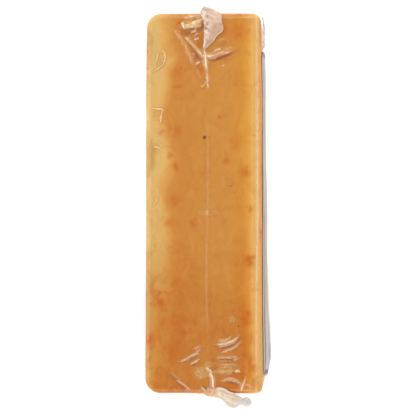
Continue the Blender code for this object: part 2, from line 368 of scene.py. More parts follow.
def store(piece, name, values):
    """Keeps a value for each point of a mesh, for its finish to read."""
    kept = piece.data.attributes.new(name=name, type="FLOAT", domain="POINT")
    kept.data.foreach_set("value", values)


def select_faces(piece, wanted):
    """Selects, in edit mode, the faces for which wanted(face) is true."""
    bpy.ops.mesh.select_mode(type="FACE")
    bpy.ops.mesh.select_all(action="DESELECT")
    bm = bmesh.from_edit_mesh(piece.data)
    for face in bm.faces:
        face.select_set(wanted(face))
    bmesh.update_edit_mesh(piece.data)


# %% Cut a cube into cells and shape it
def add_loaf(name, cells, ease):
    """A loaf cut into cells along X, Y and Z, closer near the ends by its ease.

    One operator call makes 100 cuts at most, so the cells along each axis are given as two
    factors, for two rounds of cuts."""
    loaf = add(bpy.ops.mesh.primitive_cube_add, name, size=1)
    bpy.ops.object.mode_set(mode="EDIT")
    bpy.ops.mesh.select_mode(type="EDGE")
    for axis, factors in enumerate(cells):
        for count in factors:
            bpy.ops.mesh.select_all(action="DESELECT")
            bm = bmesh.from_edit_mesh(loaf.data)
            for edge in bm.edges:
                run = edge.verts[1].co - edge.verts[0].co
                edge.select_set(abs(run[axis]) > 0.9 * run.length)
            bmesh.update_edit_mesh(loaf.data)
            bpy.ops.mesh.subdivide(number_cuts=count - 1)
    bpy.ops.object.mode_set(mode="OBJECT")
    share = points_of(loaf) + 0.5
    share -= np.array(ease) * np.sin(2 * np.pi * share) / (2 * np.pi)
    sharp = (share - (0.5, 0.5, 0)) * (LOAF_WIDTH, LOAF_LENGTH, LOAF_HEIGHT)
    put_points(loaf, loaf_form(sharp))
    bpy.ops.object.shade_smooth()
    print(name, "points:", len(loaf.data.vertices))
    return loaf


# %% [markdown]
# Cheese under film is smooth, but no knife leaves it quite flat. The cheese is the loaf's
# form, drawn in by the film's thickness, with shallow dents from noise. Two values are
# kept for its finish: how near an edge each point lies, and how strongly a darker blotch
# or painted shade marks it. The blotches are the cheese's own darker mottling, but most
# of those among the folds of the upper end are painted shade between the folds. The
# blotches are ragged, because noise shifts each point before it is measured.

# %% Shape the cheese
CHEESE_CELLS = ((8, 13), (10, 29), (2, 13))
CHEESE_EASE = (0.0, 0.1, 0.6)
FILM_GAP = 0.25 * MM
DENT_DEPTH = 0.16 * MM
DENT_SIZE = 13.0 * MM


def noise_at(points, size, seed):
    """Smooth noise from about -0.5 to 0.5 at each point."""
    shift = Vector((seed * 7.3, seed * 3.1, seed * 5.7))
    return np.array([noise.noise(Vector(point) / size + shift) for point in points])


cheese = add_loaf("cheddar_loaf", CHEESE_CELLS, CHEESE_EASE)
surface = points_of(cheese)
dents = noise_at(surface, DENT_SIZE, 1)
cheese_points = surface - points_of(cheese, "normal") * (FILM_GAP + DENT_DEPTH * (0.5 + dents))[:, None]
cheese_points[:, 2] = np.maximum(cheese_points[:, 2], FILM_GAP)
put_points(cheese, cheese_points)
print("dents, mm:", np.round(np.ptp(dents) * DENT_DEPTH / MM, 2))

# %% Mark the cheese's edges, blotches and painted fold shade
# Darker places on the seam side, the cheese's blotches and painted shade among the folds:
# the middle's x and y, the radii along both, and the strength.
BLOTCHES_AND_FOLD_SHADE = (
    # The upper end, where most of these are painted shade between the folds of the gather.
    (17.7, 94.7, 2.2, 0.6, 0.9), (17.0, 86.5, 5.5, 5.0, 0.5), (18.1, 84.2, 2.8, 2.0, 0.6),
    (11.3, 85.5, 4.0, 3.0, 0.4), (-8.9, 84.7, 2.6, 1.8, 0.85), (-12.3, 90.1, 0.9, 1.0, 1.0),
    (-2.0, 80.6, 2.4, 4.0, 0.75), (-3.4, 72.4, 2.2, 3.4, 0.65), (-1.4, 66.6, 1.8, 2.6, 0.7),
    (-13.6, 65.0, 3.0, 4.0, 0.45), (-13.2, 58.6, 2.0, 1.4, 0.5), (15.6, 59.3, 1.6, 1.2, 0.75),
    (7.4, 72.2, 5.0, 1.1, 0.7), (-28.9, 74.0, 0.9, 13.0, 1.0),
    # The middle.
    (-13.4, 36.8, 2.6, 2.4, 0.55), (-13.2, 17.9, 2.0, 2.2, 0.65), (-21.3, 35.7, 1.5, 2.5, 0.4),
    (-16.8, 23.9, 1.6, 1.4, 0.45), (0.1, 15.5, 2.2, 1.3, 0.5), (0.8, 18.7, 0.8, 2.0, 0.4),
    (11.3, 21.1, 1.8, 1.5, 0.5), (15.2, 29.7, 1.7, 2.6, 0.4), (8.5, 43.0, 0.9, 0.8, 0.85),
    (11.2, 43.9, 0.8, 0.5, 0.6), (20.5, 15.6, 2.8, 3.0, 0.6), (29.2, 16.4, 1.2, 2.6, 1.0),
    (29.2, -14.4, 1.2, 3.0, 0.9), (-14.5, 0.9, 3.0, 3.0, 0.55), (-4.4, 7.0, 0.9, 0.6, 0.7),
    (22.9, -2.5, 1.3, 1.5, 0.8), (-17.1, -10.1, 4.0, 2.5, 0.5), (-4.6, -9.9, 2.0, 2.2, 0.6),
    (22.9, -28.4, 2.2, 3.2, 0.9), (-13.2, -38.5, 2.5, 4.0, 0.4), (-19.3, -44.6, 4.2, 0.6, 0.8),
    (-21.8, -49.4, 3.5, 3.0, 0.75), (2.7, -50.9, 0.9, 0.9, 0.65),
    # The lower end.
    (21.2, -56.5, 2.6, 4.5, 0.8), (-10.4, -58.6, 6.0, 2.5, 0.5), (-5.0, -60.3, 0.6, 1.6, 1.0),
    (17.5, -61.4, 0.8, 0.7, 1.0), (-9.3, -63.8, 5.0, 1.4, 0.6), (-1.6, -66.5, 2.5, 3.0, 0.5),
    (-26.5, -68.1, 2.6, 3.5, 0.9), (23.7, -68.0, 1.4, 4.0, 0.6), (-15.4, -75.0, 2.4, 7.0, 0.55),
    (23.8, -81.6, 1.7, 5.0, 0.9), (14.7, -91.2, 4.5, 2.0, 0.5), (17.3, -85.9, 3.0, 1.0, 0.5),
    (-12.8, -92.6, 6.5, 1.6, 0.5), (-24.4, -91.2, 3.5, 2.0, 0.5),
)
# The dark specks there: x, y and radius.
SPECKS = (
    (0.5, 33.0, 0.95), (3.0, 32.8, 0.3), (13.9, 31.9, 0.25), (0.9, 21.4, 0.3),
    (14.0, 8.9, 0.32), (24.7, -48.5, 0.32), (17.4, -61.4, 0.4),
)
BAND_WIDTH = 6.0 * MM
BLOTCH_AND_SHADE_DEPTH = (LOAF_HEIGHT * 0.75, LOAF_HEIGHT * 0.9)
RAGGEDNESS = 1.8
RAGGED_SIZE = 2.4 * MM

x, y, z = cheese_points.T
side_gap = HALF_WIDTH - np.abs(x)
end_gap = HALF_LENGTH - np.abs(y)
flat_gap = np.minimum(LOAF_HEIGHT - z, z)
gaps = np.sort(np.column_stack((side_gap, end_gap, flat_gap)), axis=1)
edge = smooth_step(BAND_WIDTH * 1.25, BAND_WIDTH * 0.55, gaps[:, 1])
blotch_and_shade = np.zeros(len(x))
ragged_x = x / MM + RAGGEDNESS * noise_at(cheese_points, RAGGED_SIZE, 5)
ragged_y = y / MM + RAGGEDNESS * noise_at(cheese_points, RAGGED_SIZE, 6)
for middle_x, middle_y, radius_x, radius_y, strength in BLOTCHES_AND_FOLD_SHADE:
    reach = np.hypot((ragged_x - middle_x) / radius_x, (ragged_y - middle_y) / radius_y)
    here = np.exp(-(reach**2)) * strength * smooth_step(*BLOTCH_AND_SHADE_DEPTH, z)
    blotch_and_shade = np.maximum(blotch_and_shade, here)
store(cheese, "edge", edge)
store(cheese, "blotch_and_shade", blotch_and_shade)
print("points in a pale band:", int((edge > 0.5).sum()))

# %% [markdown]
# The colour of cheddar isn't one orange. It clouds from pale to deep over a centimetre or
# two, and it has small redder flecks. Its long edges are painted yellower: partly the
# cheese's translucency there, partly painted light where the round edges catch the side
# softboxes. Noise in three sizes gives the clouds and the flecks, in the loaf's own
# coordinates, so all sides agree.

# %% Finish the cheese
# Across the seam side, from the left edge to the right one, first as it is along most of
# the loaf and then as it is near the lower end. The pale bands at both edges are partly
# the cheese's translucency and partly painted light on the round edges, and the cream stop
# at 0.95 is a painted highlight: the right softbox's reflection on the right round edge.
UPPER_BANDS = (
    (0.0, (208, 162, 88)), (0.05, (228, 194, 120)), (0.12, (232, 194, 118)), (0.17, (230, 176, 94)),
    (0.24, (216, 146, 66)), (0.32, (211, 139, 60)), (0.52, (213, 146, 64)), (0.72, (216, 149, 68)),
    (0.83, (221, 149, 54)), (0.88, (232, 166, 66)), (0.915, (240, 190, 102)), (0.938, (240, 190, 104)),
    (0.95, (255, 228, 168)), (0.96, (236, 186, 104)), (0.975, (230, 176, 88)), (0.99, (212, 142, 50)),
    (1.0, (196, 116, 36)),
)
LOWER_BANDS = (
    (0.0, (206, 152, 74)), (0.06, (214, 148, 64)), (0.12, (209, 136, 54)), (0.27, (203, 121, 43)),
    (0.5, (205, 131, 52)), (0.74, (204, 127, 48)), (0.83, (208, 118, 34)), (0.885, (226, 146, 52)),
    (0.915, (236, 180, 92)), (0.938, (238, 184, 100)), (0.95, (255, 226, 164)), (0.96, (232, 184, 106)),
    (0.975, (228, 178, 92)), (0.99, (214, 158, 74)), (1.0, (204, 138, 54)),
)
SEAM_SIDE_FROM = (71.2 * MM, 73.5 * MM)
SPECK_DEPTH = (70 * MM, 73 * MM)
cheddar, place = new_material("cheddar")
across, along, upward = axes(place)
drift = clouds(place, 62.0, 4.0, stretch=(1.0, 0.6, 1.0), swirl=0.4)
wander = (drift - 0.5) * 0.3 * (1.0 - across.step(16 * MM, 24.5 * MM))
bands_at = across * (1 / LOAF_WIDTH) + 0.5 + wander
low_end = 1.0 - (along + drift * (50 * MM)).step(-45 * MM, 20 * MM)
seam_side = mixed(low_end, ramp(bands_at, UPPER_BANDS), ramp(bands_at, LOWER_BANDS))
cloud = clouds(place, 62.0, 4.0, stretch=(1.0, 0.75, 1.0), swirl=0.6).step(0.36, 0.64)
body = mixed(cloud, (203, 126, 50), (217, 150, 72))
# Near every edge the cheese is painted paler and yellower: partly its translucency there, partly painted
# light on the round edges.
walls = mixed(stored(place, "edge") * (0.4 + 0.3 * cloud), body, (218, 164, 84))
ground = mixed(upward.step(*SEAM_SIDE_FROM), walls, seam_side)
mottle = clouds(place, 130.0, 5.0, stretch=(1.2, 0.8, 1.2), shift=(7, 2, 5), swirl=1.2)
deeper = mixed(mottle.step(0.5, 0.74) * (0.2 + 0.4 * low_end), ground, (192, 102, 34))
lighter = mixed(mottle.step(0.5, 0.3) * 0.22, deeper, (226, 170, 98))
vein_line = 1.0 - abs(clouds(place, 150.0, 5.0, shift=(3, 1, 2), swirl=1.4) - 0.5).step(0.0, 0.022)
vein_zone = clouds(place, 70.0, 2.0, shift=(5, 5, 8)).step(0.55, 0.66)
veined = mixed(vein_line * vein_zone * 0.3, lighter, (188, 86, 22))
ragged = clouds(place, 330.0, 4.0, shift=(1, 9, 4), swirl=0.8).step(0.25, 0.65)
# This value darkens the cheese: its own mottling, and painted shade among the folds.
blotched_and_shaded = mixed(stored(place, "blotch_and_shade") * (0.6 + 0.55 * ragged), veined, (204, 94, 8))
flat = place.node("ShaderNodeVectorMath", {"operation": "MULTIPLY"}, {0: place, 1: (1.0, 1.0, 0.0)})
speck_mask = 0.0
for speck_x, speck_y, radius in SPECKS:
    inputs = {0: flat, 1: (speck_x * MM, speck_y * MM, 0.0)}
    offset = flat.node("ShaderNodeVectorMath", {"operation": "DISTANCE"}, inputs, output="Value")
    uneven_offset = offset + ragged * (0.2 * MM)
    speck_mask = speck_mask + (1.0 - uneven_offset.step(radius * 0.6 * MM, radius * 1.6 * MM))
speck_mask = speck_mask * upward.step(*SPECK_DEPTH)
specked = mixed(speck_mask * 0.95, blotched_and_shaded, (116, 22, 0))
pores = clouds(place, 900.0, 2.0)
cheese_shader = principled(place, {
    "Base Color": specked,
    "Roughness": 0.5 + 0.2 * pores,
    "Specular IOR Level": 0.12,
    "Coat Weight": 0.25,
    "Coat Roughness": 0.12,
    "Normal": bump(place, 0.12, 0.3 * MM, pores + cloud * 2.0),
})
cheese.data.materials.append(show(cheddar, cheese_shader))
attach(cheese, "root")
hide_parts("sealed_bag")
print("cheese finished")

# %% [markdown]
# Shrunk film lies flat on the cheese and bunches where it had to be closed. Cloth could be
# simulated into folds, but never into these folds, so each fold is drawn as a line: the
# film rises to a ridge along it, whitens there, and often has a dark crease beside it, whose
# deep orange is painted shade. Every fold has a path in millimetres, a half width, a
# height, and how milky and how dark it is. A positive darkness puts the crease on the right
# of the path, a negative one left.

# %% List the folds of the seam side
class Fold(NamedTuple):
    """A fold of the film: a ridge along a smooth path on the seam side."""

    path: tuple
    half_width: float
    height: float
    milk: float
    dark: float = 0.0


UPPER_FOLDS = (
    # The seam's thick end and the knot below it.
    Fold(
        ((-0.6, 77.6), (0.2, 76.2), (1.1, 73.9), (1.0, 72.2), (1.2, 69.6), (1.6, 67.1), (2.0, 62.8)),
        0.75, 1.1, 0.95, -0.3,
    ),
    Fold(((1.7, 68.0), (2.1, 62.8), (1.9, 60.2), (2.3, 58.0)), 0.7, 0.6, 0.6, 0.3),
    Fold(((-1.8, 59.2), (-0.4, 58.4), (1.2, 60.3), (2.8, 58.1)), 0.45, 0.4, 0.7),
    Fold(((-3.0, 67.6), (-2.4, 65.0), (-0.8, 61.6)), 0.9, 0.4, 0.34),
    Fold(((1.9, 60.4), (2.2, 58.6), (1.8, 57.0)), 0.5, 0.4, 0.8),
    # The two long arms up to the left, and the arm to the right.
    Fold(
        ((3.6, 70.6), (-0.2, 73.2), (-3.7, 77.4), (-6.3, 80.0), (-8.5, 82.2), (-10.0, 83.4)),
        1.0, 1.0, 0.66, -0.9,
    ),
    Fold(
        ((-1.6, 63.6), (-5.0, 69.6), (-7.6, 75.7), (-10.2, 80.8), (-13.2, 85.5), (-15.3, 87.3)),
        1.4, 0.8, 0.5, 0.6,
    ),
    Fold(((-2.2, 74.4), (1.0, 73.6), (4.6, 73.5), (8.4, 74.4)), 0.8, 0.8, 0.85, 0.3),
    Fold(
        ((1.6, 73.2), (3.4, 73.4), (6.1, 73.9), (9.6, 75.2), (13.0, 76.1), (18.2, 77.8)),
        0.9, 0.9, 0.5, 0.95,
    ),
    Fold(((4.2, 75.4), (6.6, 76.5), (9.8, 77.9)), 0.4, 0.5, 0.85, 0.95),
    Fold(((5.0, 79.0), (8.5, 81.2), (11.5, 82.4)), 1.0, 0.4, 0.16, 0.5),
    # Short rungs between the arms.
    Fold(((-6.9, 85.0), (-3.1, 86.4)), 0.42, 0.5, 0.85, 0.9),
    Fold(((-4.6, 84.0), (-2.6, 84.7)), 0.4, 0.3, 0.6, 0.7),
    Fold(((-5.2, 81.4), (-1.8, 82.7)), 0.42, 0.5, 0.8, 0.9),
    Fold(((-4.4, 69.1), (-1.4, 70.9)), 0.5, 0.6, 0.9, 0.7),
    Fold(((-5.8, 75.2), (-4.6, 73.4)), 0.5, 0.3, 0.35, 0.6),
    # The pocket of slack film beside the ear.
    Fold(((-11.2, 87.8), (-8.6, 88.2), (-5.6, 88.9), (-2.4, 90.6), (1.8, 93.2)), 1.5, 0.9, 0.8, 0.9),
    Fold(((-11.4, 90.6), (-10.0, 89.0), (-9.6, 86.4)), 1.0, 0.5, 0.8),
    Fold(((-9.4, 90.8), (-6.8, 90.0), (-4.4, 90.8)), 0.7, 0.4, 0.6),
    Fold(((-9.6, 86.8), (-7.4, 86.2), (-6.0, 86.4)), 0.5, 0.4, 0.5),
    Fold(((-8.6, 91.8), (-5.2, 93.4), (-2.0, 94.0), (1.8, 95.6)), 0.9, 0.5, 0.6, 0.6),
    Fold(((-5.4, 87.2), (-1.0, 89.0)), 0.5, 0.4, 0.45, 0.8),
    # Fine wrinkles to the right of the seam.
    Fold(((9.0, 68.3), (11.0, 69.2)), 0.35, 0.2, 0.45),
    Fold(((8.1, 61.6), (10.0, 65.0), (12.7, 68.3)), 0.6, 0.25, 0.24, 0.2),
    Fold(((10.5, 62.0), (13.6, 65.0)), 0.5, 0.25, 0.26, 0.2),
)
LOWER_FOLDS = (
    # Left of the tail.
    Fold(
        ((-13.6, -78.9), (-9.3, -77.8), (-5.9, -75.8), (-3.3, -74.4), (-0.7, -70.6)),
        0.5, 0.9, 0.7, 0.95,
    ),
    Fold(((-7.4, -80.6), (-4.4, -79.0), (-1.4, -77.2)), 0.5, 0.7, 0.75, 0.8),
    Fold(((-5.2, -72.3), (-3.2, -71.9), (-1.5, -70.4)), 0.4, 0.4, 0.5, 0.7),
    Fold(((-14.6, -87.0), (-9.3, -90.7), (-5.7, -94.0)), 0.55, 0.7, 0.6, 0.95),
    Fold(((-17.4, -83.4), (-14.0, -86.0), (-10.4, -89.4)), 0.7, 0.3, 0.34, 0.6),
    Fold(((-1.8, -91.0), (1.0, -93.3), (4.2, -95.2)), 0.55, 0.6, 0.8, -0.9),
    Fold(((-4.4, -94.0), (-1.4, -94.4)), 0.6, 0.4, 0.7),
    # Right of the tail.
    Fold(((5.9, -68.2), (9.1, -68.3), (12.4, -67.4), (14.6, -65.0)), 0.5, 0.6, 0.5, 0.95),
    Fold(((4.4, -70.0), (8.6, -70.2), (12.1, -69.5), (15.6, -68.0), (19.4, -64.0)), 0.8, 1.0, 0.72, 0.9),
    Fold(((6.4, -75.6), (11.3, -73.4), (15.6, -71.4), (21.4, -66.6)), 0.45, 0.7, 0.62, 0.6),
    Fold(((5.0, -76.6), (9.6, -76.2), (13.9, -76.4), (19.6, -77.2)), 0.85, 0.7, 0.34, 0.95),
    Fold(((10.6, -75.1), (12.2, -75.0)), 0.45, 0.3, 0.5),
    Fold(((5.3, -79.6), (10.5, -80.2), (17.0, -80.2)), 1.3, 0.5, 0.34, 0.3),
    Fold(((5.5, -83.4), (11.0, -83.8), (16.0, -83.2)), 1.2, 0.5, 0.42, 0.4),
    Fold(((15.2, -84.0), (16.9, -83.4), (18.8, -84.0)), 0.45, 0.5, 0.85, 0.6),
    Fold(((7.2, -89.2), (11.4, -87.4), (14.7, -87.6), (17.3, -88.7), (20.4, -91.4)), 0.75, 0.8, 0.5, 0.8),
    Fold(((21.3, -84.8), (20.3, -89.1), (18.8, -93.0), (17.3, -95.2)), 0.6, 0.6, 0.6),
    Fold(((19.0, -93.0), (21.6, -92.9), (24.4, -92.0)), 0.9, 0.4, 0.55),
    Fold(((19.8, -89.4), (22.6, -90.6), (25.6, -92.0)), 0.4, 0.3, 0.5),
    # The tail's own ridge, which climbs from the lower edge.
    Fold(((0.8, -81.6), (2.6, -82.6), (4.6, -84.4)), 0.45, 0.8, 0.7),
    Fold(((3.2, -82.8), (4.2, -86.0), (4.6, -88.6), (4.9, -91.4), (6.4, -92.6)), 0.75, 1.4, 1.0, 0.6),
)
FAINT_FOLDS = (
    # The seam; the bright line of the right edge, a painted highlight for the right softbox's
    # reflection on the round edge; and the outlines of flat pockets of air.
    Fold(
        ((2.3, 58.0), (2.1, 40.0), (2.1, 10.0), (1.5, -20.0), (1.4, -45.0), (2.0, -64.0), (1.9, -76.0)),
        0.85, 0.15, 0.33,
    ),
    Fold(
        ((25.9, 99.0), (26.5, 80.0), (26.8, 50.0), (26.8, 0.0), (26.7, -40.0), (26.5, -99.0)),
        0.36, 0.0, 0.82,
    ),
    Fold(
        ((-22.4, 76.9), (-20.5, 76.1), (-19.2, 73.9), (-19.6, 70.5),
         (-21.3, 68.4), (-26.9, 64.5), (-28.4, 61.5)),
        0.4, 0.2, 0.7,
    ),
    Fold(((-22.4, 76.9), (-23.4, 72.2), (-24.8, 66.0)), 0.4, 0.2, 0.5),
    Fold(
        ((-26.7, 48.1), (-24.4, 47.2), (-20.3, 46.8), (-21.2, 43.8), (-21.6, 40.2), (-25.2, 40.6)),
        0.4, 0.2, 0.7,
    ),
    Fold(((-26.1, 31.0), (-24.6, 28.6), (-22.4, 27.7), (-21.1, 26.3), (-22.8, 24.9)), 0.4, 0.2, 0.7),
    Fold(((-25.6, 1.8), (-23.5, 2.2), (-24.4, 0.0), (-26.5, -0.8)), 0.4, 0.2, 0.6),
    Fold(((-26.2, -15.6), (-25.0, -17.0), (-25.2, -18.6)), 0.4, 0.2, 0.34),
    Fold(((-2.4, -24.6), (-3.7, -29.0), (-4.2, -34.2), (-5.2, -39.3)), 0.5, 0.15, 0.2),
    Fold(((7.9, 41.4), (6.6, 36.5), (6.1, 32.0)), 0.7, 0.15, 0.12),
)
print("folds on the seam side:", len(UPPER_FOLDS) + len(LOWER_FOLDS) + len(FAINT_FOLDS))

# %% Measure places along a path
def smooth_line(points, steps=6):
    """A smooth curve through points, as rows."""
    points = np.array(points, float)
    ends = [2 * points[0] - points[1], *points, 2 * points[-1] - points[-2]]
    line = []
    for before, start, end, after in zip(ends, ends[1:], ends[2:], ends[3:]):
        for share in np.arange(steps) / steps:
            bend = 2 * before - 5 * start + 4 * end - after
            twist = 3 * start - before - 3 * end + after
            line.append(start + ((end - before) * share + bend * share**2 + twist * share**3) / 2)
    line.append(points[-1])
    return np.array(line)


def beside_line(places, normals, line):
    """Each place's distance from a line, the side that it lies on, and its share along it."""
    away = np.full(len(places), np.inf)
    side = np.zeros(len(places))
    share = np.zeros(len(places))
    for index, (start, end) in enumerate(zip(line, line[1:])):
        run = end - start
        part = np.clip((places - start) @ run / (run @ run), 0, 1)
        offset = places - (start + part[:, None] * run)
        distance = np.linalg.norm(offset, axis=1)
        nearer = distance < away
        away[nearer] = distance[nearer]
        rightward = np.sum(offset * np.cross(run, normals), axis=1)
        side[nearer] = np.sign(rightward[nearer])
        share[nearer] = (index + part[nearer]) / (len(line) - 1)
    return away, side, share


# %% Raise the folds
TAPER = 0.3
END_WIDTH = 0.45
RISE_SHARE = 0.6
# Widths in half widths of the fold: of the form, of the glow, and how far it counts at all.
FORM_WIDTH = 1.5
GLOW_WIDTH = 2.2
FOLD_REACH = 5.0
FAR = 9.0
LEAST_WIDTH = 0.6 * MM
# A fold without a crease that is less milky than this only rises and glows.
LEAST_MILK = 0.28


class Drape(NamedTuple):
    """What folds do to the film at each place: how far they raise it and how far a soft
    glow round them reaches. The rest is for the fold that counts most there: how far off
    its line the place lies, in half widths and positive on the side of its crease, and how
    milky its ridge and how dark its crease is."""

    rise: np.ndarray
    glow: np.ndarray
    gap: np.ndarray
    milk: np.ndarray
    dark: np.ndarray


def raise_folds(places, normals, folds):
    """The drape of a list of folds at each place."""
    drape = Drape(*np.zeros((5, len(places))))
    drape.gap[:] = FAR
    heaviest = np.full(len(places), 1e-9)
    for path, half_width, height, milkiness, darkness in folds:
        line = smooth_line(path) * MM
        width = half_width * MM
        margin = FOLD_REACH * width
        near = np.flatnonzero(
            np.all((places > line.min(0) - margin) & (places < line.max(0) + margin), axis=1)
        )
        away, side, share = beside_line(places[near], normals[near], line)
        taper = smooth_step(0, TAPER, share) * smooth_step(1, 1 - TAPER, share)
        local = width * (END_WIDTH + (1 - END_WIDTH) * taper)
        form_width = max(width * FORM_WIDTH, LEAST_WIDTH)
        drape.rise[near] += height * MM * taper * RISE_SHARE * np.exp(-((away / form_width) ** 2))
        soft = taper * np.exp(-((away / local / GLOW_WIDTH) ** 2))
        drape.glow[near] = np.maximum(drape.glow[near], milkiness * soft)
        if darkness == 0 and milkiness < LEAST_MILK:
            continue
        weight = max(milkiness, abs(darkness)) * soft
        wins = weight > heaviest[near]
        won = near[wins]
        heaviest[won] = weight[wins]
        drape.gap[won] = (side * away / local * (-1 if darkness < 0 else 1))[wins]
        drape.milk[won] = milkiness * np.sqrt(taper[wins])
        drape.dark[won] = abs(darkness) * np.sqrt(taper[wins])
    # Past its own ridge and crease a fold counts for nothing, so no false line shows there.
    drape.milk[:] *= smooth_step(1.9, 1.3, np.abs(drape.gap))
    drape.dark[:] *= smooth_step(4.4, 3.7, drape.gap) * smooth_step(-0.8, 0.2, drape.gap)
    return drape


# %% [markdown]
# Both ends of the pack are closed like a parcel: small folds run out from the root of the
# ear and of the tail like spokes. They aren't all alike, so their turns and lengths come
# from a seeded draw. A few more cross the broad sides' corners, and the finest wrinkles of
# the seam side fan out round the seam's knot and round the tail.

# %% Draw the folds of the ends and sides
draw = np.random.default_rng(7)
SPOKES = 15
EAR_ROOT = (3.0, 60.0)
TAIL_ROOT = (5.0, 63.0)
EDGE_MARGIN = 2.5
SIDE_CREASES = 26


def drawn(*ranges):
    """One seeded number from each range."""
    return [draw.uniform(low, high) for low, high in ranges]


def end_spokes(root, y_side):
    """Folds that run out over an end of the loaf from a root (x, z)."""
    spokes = []
    for index in range(SPOKES):
        aside, length, bow = drawn((-0.3, 0.3), (9.0, 25.0), (-2.5, 2.5))
        turn = 2 * math.pi * (index + aside) / SPOKES
        out = np.array((math.cos(turn), math.sin(turn)))
        beside = np.array((-out[1], out[0]))
        path = []
        for share, sway in ((0.18, 0.0), (0.55, bow), (1.0, 0.0)):
            x, z = root + out * length * share + beside * sway
            x = np.clip(x, EDGE_MARGIN - HALF_WIDTH / MM, HALF_WIDTH / MM - EDGE_MARGIN)
            z = np.clip(z, EDGE_MARGIN, LOAF_HEIGHT / MM - EDGE_MARGIN)
            path.append((x, y_side * HALF_LENGTH / MM, z))
        shade = draw.uniform(0.1, 0.6) * draw.choice((-1, 1))
        spokes.append(Fold(tuple(path), *drawn((0.5, 1.0), (0.25, 0.6), (0.15, 0.5)), shade))
    return spokes


def side_creases():
    """Short slanting folds on the broad sides, near the loaf's ends."""
    creases = []
    for index in range(SIDE_CREASES):
        x_side, y_side = (-1, 1)[index % 2], (-1, 1)[index // 2 % 2]
        far, low_z, slant, length, bow = drawn((76, 90), (8, 70), (-4, 4), (4, 15), (-0.6, 0.6))
        path = tuple(
            (x_side * HALF_WIDTH / MM, y_side * (far - length * share), low_z + slant * share + sway)
            for share, sway in ((0, 0), (0.5, bow), (1, 0))
        )
        creases.append(Fold(path, *drawn((0.9, 1.4), (0.15, 0.35), (0.08, 0.28), (-0.3, 0.3))))
    return creases


def fine_wrinkles(middle, reach, turns, count):
    """Short faint wrinkles of the seam side that point at a middle (x, y)."""
    wrinkles = []
    for _ in range(count):
        turn, near, length, bow, end = drawn(turns, reach, (2.5, 7.0), (-0.6, 0.6), (-0.8, 0.8))
        out = np.array((math.cos(math.radians(turn)), math.sin(math.radians(turn))))
        beside = np.array((-out[1], out[0]))
        path = tuple(
            (*(middle + out * (near + length * share) + beside * sway), LOAF_HEIGHT / MM)
            for share, sway in ((0, 0), (0.5, bow), (1, end))
        )
        half_width, milk = drawn((0.35, 0.7), (0.12, 0.27))
        wrinkles.append(Fold(path, half_width, 0.3, milk))
    return wrinkles


wrap_folds = end_spokes(EAR_ROOT, 1) + end_spokes(TAIL_ROOT, -1) + side_creases()
wrap_folds += fine_wrinkles((1.0, 74.0), (5.0, 18.0), (-40, 220), 26)
wrap_folds += fine_wrinkles((4.0, -86.0), (4.0, 20.0), (10, 200), 40)
print("folds on the ends and sides:", len(wrap_folds))

# %% [markdown]
# The film is a closed skin on the loaf's form. It needs many more points than the cheese,
# because a wrinkle is less than a millimetre wide. The underside stays flat, and one face
# takes the place of its cells. Patches of tiny bubbles lie by the tail, where film lies
# double, and for them too a value is kept at each point. One pale patch in the middle of
# the seam side shares that value, but it is a painted reflection of a light, not bubbles.

# %% Shape the film
FILM_CELLS = ((10, 15), (13, 30), (2, 13))
FILM_EASE = (-0.3, 0.45, 0.5)
RIPPLE_HEIGHT = 0.16 * MM
RIPPLE_SIZE = 3.6 * MM
UNDERSIDE = 0.02 * MM
UNDER_LABEL = (-88 * MM, 78 * MM)
# Hazy places in the film of the seam side, in the same way as the blotches. The patch at
# (2.4, -4.6) is no haze but a painted reflection, a pale patch where the flat face mirrors a light.
HAZE_AND_SHEEN_PATCHES = (
    (-0.6, -84.2, 4.6, 3.3, 0.42), (2.7, -80.4, 2.6, 1.6, 0.36), (14.3, -58.2, 1.9, 2.0, 0.4),
    (2.4, -4.6, 6.4, 1.6, 0.3), (-21.8, 71.4, 2.1, 4.4, 0.3), (-23.2, 43.6, 2.2, 3.2, 0.22),
    (8.0, -84.0, 3.5, 1.3, 0.3), (13.0, -82.0, 6.0, 2.6, 0.22), (-7.2, 92.6, 2.6, 1.3, 0.34),
    (-5.6, 89.6, 4.8, 1.9, 0.26), (12.0, -77.6, 6.0, 1.4, 0.16), (18.8, -91.5, 2.0, 2.6, 0.2),
    (22.4, 91.4, 3.6, 2.6, 0.14), (-23.6, 27.6, 1.9, 3.0, 0.14),
)


def lift_path(fold):
    """A fold of the seam side, with its height as the third coordinate."""
    return fold._replace(path=tuple((*spot, LOAF_HEIGHT / MM) for spot in fold.path))


film = add_loaf("film_skin", FILM_CELLS, FILM_EASE)
skin = points_of(film)
outward = points_of(film, "normal")
seam_folds = [lift_path(fold) for fold in UPPER_FOLDS + LOWER_FOLDS + FAINT_FOLDS]
drape = raise_folds(skin, outward, seam_folds + wrap_folds)
gather = smooth_step(52 * MM, 80 * MM, np.abs(skin[:, 1]))
gather *= smooth_step(30 * MM, 12 * MM, np.abs(skin[:, 0]))
ripples = noise_at(skin, RIPPLE_SIZE, 2)
rise = drape.rise + RIPPLE_HEIGHT * ripples * gather
haze_and_sheen = np.zeros(len(skin))
for middle_x, middle_y, radius_x, radius_y, patch_strength in HAZE_AND_SHEEN_PATCHES:
    reach = np.hypot((skin[:, 0] / MM - middle_x) / radius_x, (skin[:, 1] / MM - middle_y) / radius_y)
    ragged = reach + 0.3 * noise_at(skin, 3 * MM, 4)
    patch = smooth_step(1.15, 0.75, ragged) * (skin[:, 2] > 0.9 * LOAF_HEIGHT)
    haze_and_sheen = np.maximum(haze_and_sheen, patch * patch_strength)
rise[skin[:, 2] < UNDERSIDE] = 0
under_label = skin[:, 0] > HALF_WIDTH - MM
under_label &= (skin[:, 1] > UNDER_LABEL[0]) & (skin[:, 1] < UNDER_LABEL[1])
rise[under_label] = 0
moved = skin + outward * rise[:, None]
moved[:, 2] = np.maximum(moved[:, 2], 0)
put_points(film, moved)
